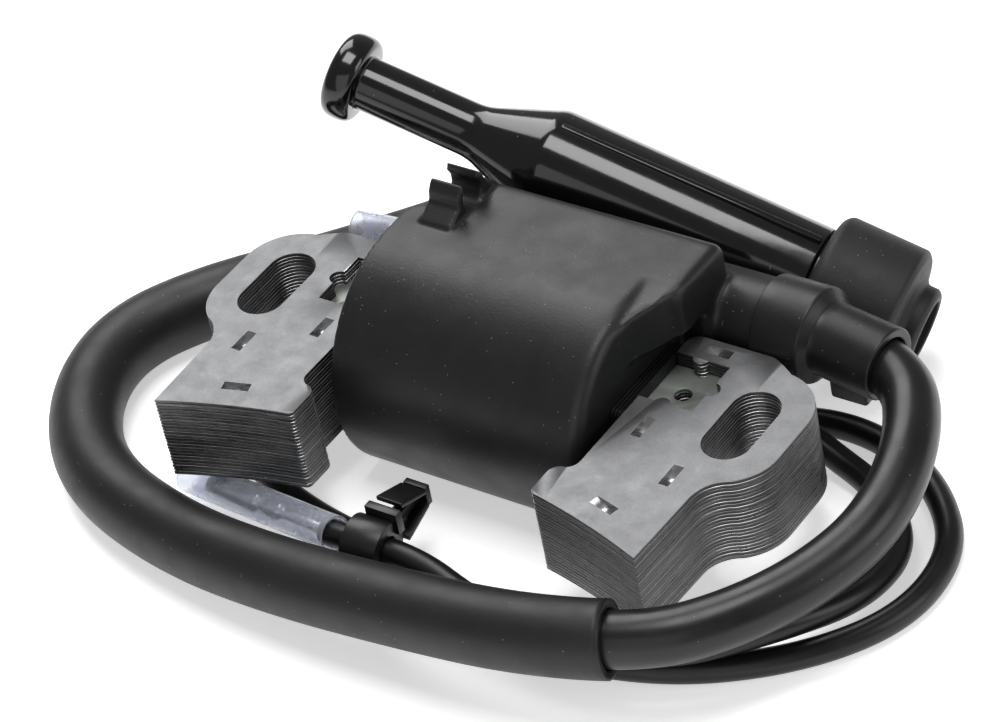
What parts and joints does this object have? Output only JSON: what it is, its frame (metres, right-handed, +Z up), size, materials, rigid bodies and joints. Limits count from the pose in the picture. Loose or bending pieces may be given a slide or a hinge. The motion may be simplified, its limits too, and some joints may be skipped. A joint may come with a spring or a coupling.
{
  "type": "ignition coil",
  "caption": "Ignition coil on a two-leg laminated core with slotted mounting legs, sleeved high-tension lead, right-angle plug cap and two clear-sleeved wire sockets.",
  "frame": {"origin": "midpoint between the two mounting slots, on the underside of the core", "axes": "+X from the left mounting slot to the right one and towards the tower side, +Y from the pole faces to the back of the coil, +Z up through the core stack; millimetre drawing, metres in the row"},
  "size_m": [0.1432, 0.0975, 0.0461],
  "materials": {
    "core_steel": "satin",
    "earth_strip": "satin",
    "housing": "matte",
    "bobbin": "matte",
    "copper": "satin",
    "board": "satin",
    "chips": "matte",
    "metal": "gloss",
    "resin": "satin",
    "ceramic": "satin",
    "cap": "gloss",
    "rubber": "matte",
    "clear_sleeve": "gloss",
    "clip": "satin"
  },
  "bodies": {
    "coil": {"left_core_leg": "core_steel", "right_core_leg": "core_steel", "core_bar": "core_steel", "earth_strip": "earth_strip", "coil_housing": "housing", "primary_bobbin": "bobbin", "primary_winding": "copper", "secondary_bobbin": "bobbin", "secondary_winding": "copper", "circuit_board": "board", "switch_transistor": "chips", "control_chip": "chips", "trigger_resistor": "chips", "bias_resistor": "chips", "clamp_diode": "chips", "secondary_lug": "metal", "tower_spike": "metal", "potting_resin": "resin", "ht_lead": "rubber", "lead_sleeve": "rubber", "tower_boot": "rubber", "cap_body": "cap", "cap_barrel": "cap", "cap_rib": "cap", "cap_lead_boot": "rubber", "cap_lead_screw": "metal", "cap_link_pin": "metal", "cap_resistor": "ceramic", "cap_spring": "metal", "plug_terminal_clip": "metal", "cap_liner": "bobbin", "outer_wire": "rubber", "inner_wire": "rubber", "outer_grommet": "housing", "inner_grommet": "housing", "front_socket_sleeve": "clear_sleeve", "front_bullet_socket": "metal", "rear_bullet_socket": "metal"},
    "boot": {"plug_boot": "rubber"},
    "rear_sleeve": {"rear_socket_sleeve": "clear_sleeve"},
    "clip": {"clip_ring": "clip"},
    "upper_barb": {"clip_barb_upper": "clip"},
    "lower_barb": {"clip_barb_lower": "clip"}
  },
  "joints": [
    {"name": "plug_boot_pull", "type": "slide", "parent": "coil", "child": "boot", "axis": [0.9362, 0.1329, -0.3253], "range_m": [0, 0.012]},
    {"name": "rear_sleeve_slide", "type": "slide", "parent": "coil", "child": "rear_sleeve", "axis": [0.9927, 0.1203, 0], "range_m": [0, 0.0034]},
    {"name": "clip_turn", "type": "hinge", "parent": "coil", "child": "clip", "pos_m": [-0.00433, -0.03033, 0.00066], "axis": [-0.9935, -0.0957, 0.061], "range_deg": [-60, 8]},
    {"name": "upper_barb_flex", "type": "hinge", "parent": "clip", "child": "upper_barb", "pos_m": [-0.00373, -0.01976, 0.00296], "axis": [1, 0, 0], "range_deg": [0, 14], "stiffness_Nm_per_rad": 0.0005},
    {"name": "lower_barb_flex", "type": "hinge", "parent": "clip", "child": "lower_barb", "pos_m": [-0.00373, -0.01976, 0.00096], "axis": [-1, 0, 0], "range_deg": [0, 14], "stiffness_Nm_per_rad": 0.0005}
  ]
}
